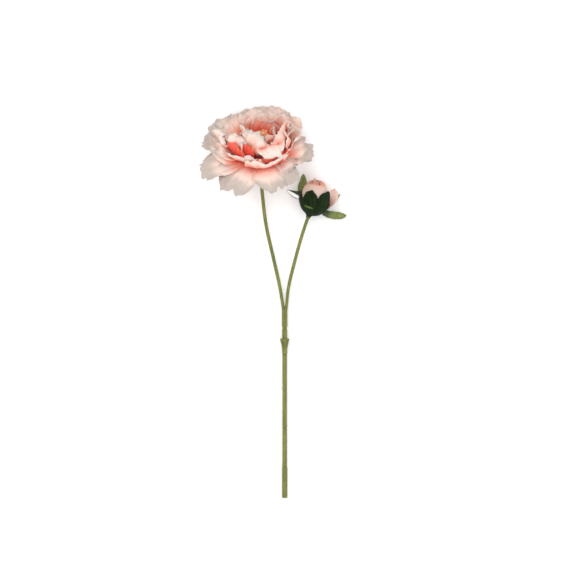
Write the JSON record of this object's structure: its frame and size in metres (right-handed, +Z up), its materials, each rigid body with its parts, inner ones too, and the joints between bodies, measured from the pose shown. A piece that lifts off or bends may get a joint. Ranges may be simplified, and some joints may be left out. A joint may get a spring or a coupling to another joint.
{
  "type": "cut peony",
  "caption": "Cut peony lying on its side, one open double bloom and one bud on a forked stem with a collar joint.",
  "frame": {"origin": "middle of the bounding box's bottom, on the surface that the flower lies on", "axes": "+Y along the stem from the cut end to the bloom, +Z up from the surface, +X to the bud's side"},
  "size_m": [0.1738, 0.469, 0.0936],
  "materials": {
    "stem": "satin moulded green",
    "calyx": "matte dark green",
    "leaf": "matte green coated fabric",
    "petal": "matte dyed fabric, coral at the base to pale at the rim",
    "bud_petal": "matte dyed fabric, pale pink",
    "stamen": "matte gold"
  },
  "bodies": {
    "root": {"main_stem": "stem", "stem_collar": "stem", "forked_stem": "stem", "bloom_calyx": "calyx", "bloom_petals": "petal", "stamens": "stamen", "bud_calyx": "calyx", "bud_petals": "bud_petal", "bud_side_petal": "bud_petal", "bud_side_sepal": "leaf", "bud_leaf_back": "leaf", "bud_leaf_left": "leaf", "bud_leaf_right": "leaf"}
  },
  "joints": []
}
